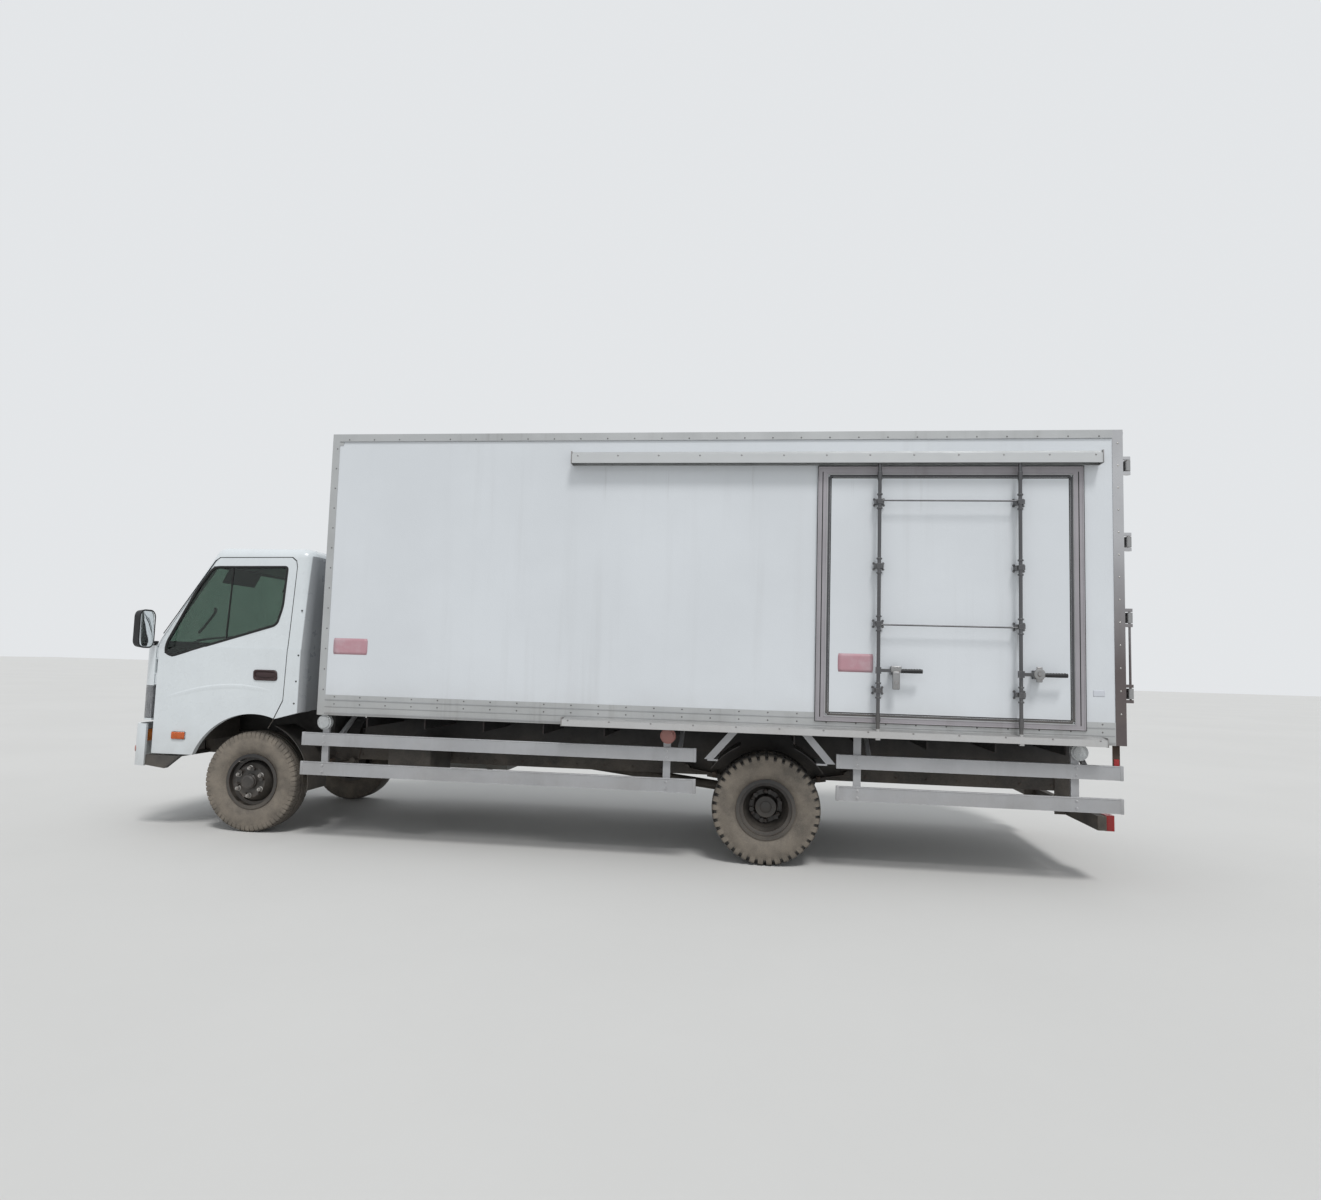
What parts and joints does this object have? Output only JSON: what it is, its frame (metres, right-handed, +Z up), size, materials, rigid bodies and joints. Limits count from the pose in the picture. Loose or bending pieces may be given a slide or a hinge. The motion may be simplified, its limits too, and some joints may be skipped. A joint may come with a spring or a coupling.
{
  "type": "refrigerated box truck",
  "caption": "Refrigerated delivery truck: tilting wide cab, ladder frame with twin rear wheels, insulated box with rear doors and a side plug door.",
  "frame": {"origin": "on the ground, midway along and across the whole truck", "axes": "+X forward, +Y to the truck's left, +Z up"},
  "size_m": [7.821, 2.432, 3.248],
  "materials": {
    "chassis_black": "satin black chassis paint",
    "engine_grey": "cast block",
    "tank_grey": "light grey paint",
    "exhaust_steel": "weathered steel",
    "cab_white": "gloss white paint",
    "lamp_clear": "clear lens",
    "black_plastic": "matt black",
    "guard_aluminium": "mill finish",
    "box_white": "white gel coat",
    "floor_grey": "grey",
    "trim_aluminium": "satin anodised",
    "stainless": "bright stainless",
    "tyre_rubber": "dusty rubber",
    "rim_black": "black paint",
    "green_glass": "green tint",
    "dash_grey": "grained",
    "seat_cloth": "woven cloth"
  },
  "bodies": {
    "truck": {"ladder_frame": "chassis_black", "box_bearers": "chassis_black", "front_axle_beam": "chassis_black", "rear_axle": "chassis_black", "leaf_springs": "chassis_black", "engine_block": "engine_grey", "drive_line": "chassis_black", "fuel_tank": "tank_grey", "battery_box": "tank_grey", "exhaust": "exhaust_steel", "bumper": "cab_white", "chassis_lamps": "lamp_clear", "mudguards": "black_plastic", "side_guard_left": "guard_aluminium", "side_guard_right": "guard_aluminium", "box_floor": "floor_grey", "box_front_wall": "box_white", "box_left_wall": "box_white", "box_right_wall": "box_white", "box_roof": "box_white", "side_door_leaf": "box_white", "edge_trims": "trim_aluminium", "rear_frame": "stainless", "side_door_gear": "stainless", "evaporator": "box_white"},
    "cab": {"cab_floor": "floor_grey", "cab_frame": "cab_white", "cab_roof": "cab_white", "front_panel": "cab_white", "grille": "black_plastic", "head_lamps": "lamp_clear", "cab_windows": "green_glass", "dashboard": "dash_grey", "seats": "seat_cloth", "mirrors": "black_plastic"},
    "steering_wheel": {"steering_wheel": "dash_grey"},
    "cab_door_left": {"cab_door_left": "cab_white", "door_window_left": "green_glass", "door_fittings_left": "black_plastic"},
    "knuckle_left": {"knuckle_left": "chassis_black"},
    "front_wheel_left": {"tyre_front_left": "tyre_rubber", "wheel_front_left": "rim_black"},
    "rear_wheels_left": {"tyres_rear_left": "tyre_rubber", "wheels_rear_left": "rim_black"},
    "rear_door_left": {"rear_door_left": "box_white", "rear_door_gear_left": "stainless"},
    "cab_door_right": {"cab_door_right": "cab_white", "door_window_right": "green_glass", "door_fittings_right": "black_plastic"},
    "knuckle_right": {"knuckle_right": "chassis_black"},
    "front_wheel_right": {"tyre_front_right": "tyre_rubber", "wheel_front_right": "rim_black"},
    "rear_wheels_right": {"tyres_rear_right": "tyre_rubber", "wheels_rear_right": "rim_black"},
    "rear_door_right": {"rear_door_right": "box_white", "rear_door_gear_right": "stainless"}
  },
  "joints": [
    {"name": "steer_left", "type": "hinge", "parent": "truck", "child": "knuckle_left", "pos_m": [2.8405, 0.6825, 0.408], "axis": [0, 0, 1], "range_deg": [-32, 32]},
    {"name": "steer_right", "type": "hinge", "parent": "truck", "child": "knuckle_right", "pos_m": [2.8405, -0.6825, 0.408], "axis": [0, 0, 1], "range_deg": [-32, 32]},
    {"name": "cab_tilt", "type": "hinge", "parent": "truck", "child": "cab", "pos_m": [3.8525, 0, 0.842], "axis": [0, 1, 0], "range_deg": [0, 45]},
    {"name": "steering_wheel_turn", "type": "hinge", "parent": "cab", "child": "steering_wheel", "pos_m": [3.2555, -0.54, 1.455], "axis": [-0.6112, 0, 0.7915], "range_deg": [-576, 576]},
    {"name": "front_wheel_left_spin", "type": "hinge", "parent": "knuckle_left", "child": "front_wheel_left", "pos_m": [2.8405, 0.8325, 0.408], "axis": [0, 1, 0], "continuous": true},
    {"name": "rear_wheels_left_spin", "type": "hinge", "parent": "truck", "child": "rear_wheels_left", "pos_m": [-1.3595, 0.82, 0.408], "axis": [0, 1, 0], "continuous": true},
    {"name": "cab_door_left_swing", "type": "hinge", "parent": "cab", "child": "cab_door_left", "pos_m": [3.7205, 0.972, 1.2], "axis": [0, 0, -1], "range_deg": [0, 70]},
    {"name": "rear_door_left_swing", "type": "hinge", "parent": "truck", "child": "rear_door_left", "pos_m": [-3.8905, 1.128, 2.1], "axis": [0, 0, -1], "range_deg": [0, 240]},
    {"name": "front_wheel_right_spin", "type": "hinge", "parent": "knuckle_right", "child": "front_wheel_right", "pos_m": [2.8405, -0.8325, 0.408], "axis": [0, 1, 0], "continuous": true},
    {"name": "rear_wheels_right_spin", "type": "hinge", "parent": "truck", "child": "rear_wheels_right", "pos_m": [-1.3595, -0.82, 0.408], "axis": [0, 1, 0], "continuous": true},
    {"name": "cab_door_right_swing", "type": "hinge", "parent": "cab", "child": "cab_door_right", "pos_m": [3.7205, -0.972, 1.2], "axis": [0, 0, 1], "range_deg": [0, 70]},
    {"name": "rear_door_right_swing", "type": "hinge", "parent": "truck", "child": "rear_door_right", "pos_m": [-3.8905, -1.128, 2.1], "axis": [0, 0, 1], "range_deg": [0, 265]}
  ],
  "couplings": [
    {"joint": "steer_right", "follows": "steer_left", "ratio": 1},
    {"joint": "steering_wheel_turn", "follows": "steer_left", "ratio": 18}
  ]
}
